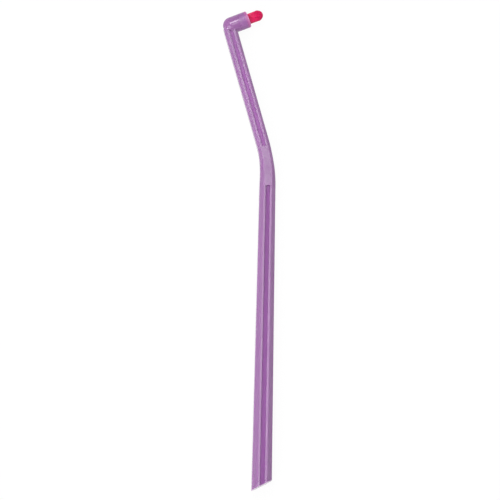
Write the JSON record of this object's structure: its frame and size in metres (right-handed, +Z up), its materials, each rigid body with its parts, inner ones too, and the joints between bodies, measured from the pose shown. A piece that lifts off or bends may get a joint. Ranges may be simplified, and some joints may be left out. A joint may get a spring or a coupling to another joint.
{
  "type": "single tuft toothbrush",
  "caption": "Slim angled single tuft brush: a tapering octagonal bar handle cut off at a slant, a bent neck and a small round head that holds a domed bristle tuft across its axis.",
  "frame": {"origin": "middle of the bounding box, on the level surface that the brush lies on", "axes": "+Y from the slanted cut end of the handle towards the head, +Z up from the surface that the brush lies on, and +X towards the side that the tuft points to. The bend of the neck lies in a level plane and leans towards -X."},
  "size_m": [0.0208, 0.1748, 0.0072],
  "materials": {
    "violet_plastic": "clear violet tinted moulding, polished, with frosted groove floors",
    "pink_filament": "satin crimson pink nylon filament",
    "anchor_metal": "plain rolled strip"
  },
  "bodies": {
    "root": {"handle": "violet_plastic", "bristle_tuft": "pink_filament", "anchor_plate": "anchor_metal"}
  },
  "joints": []
}
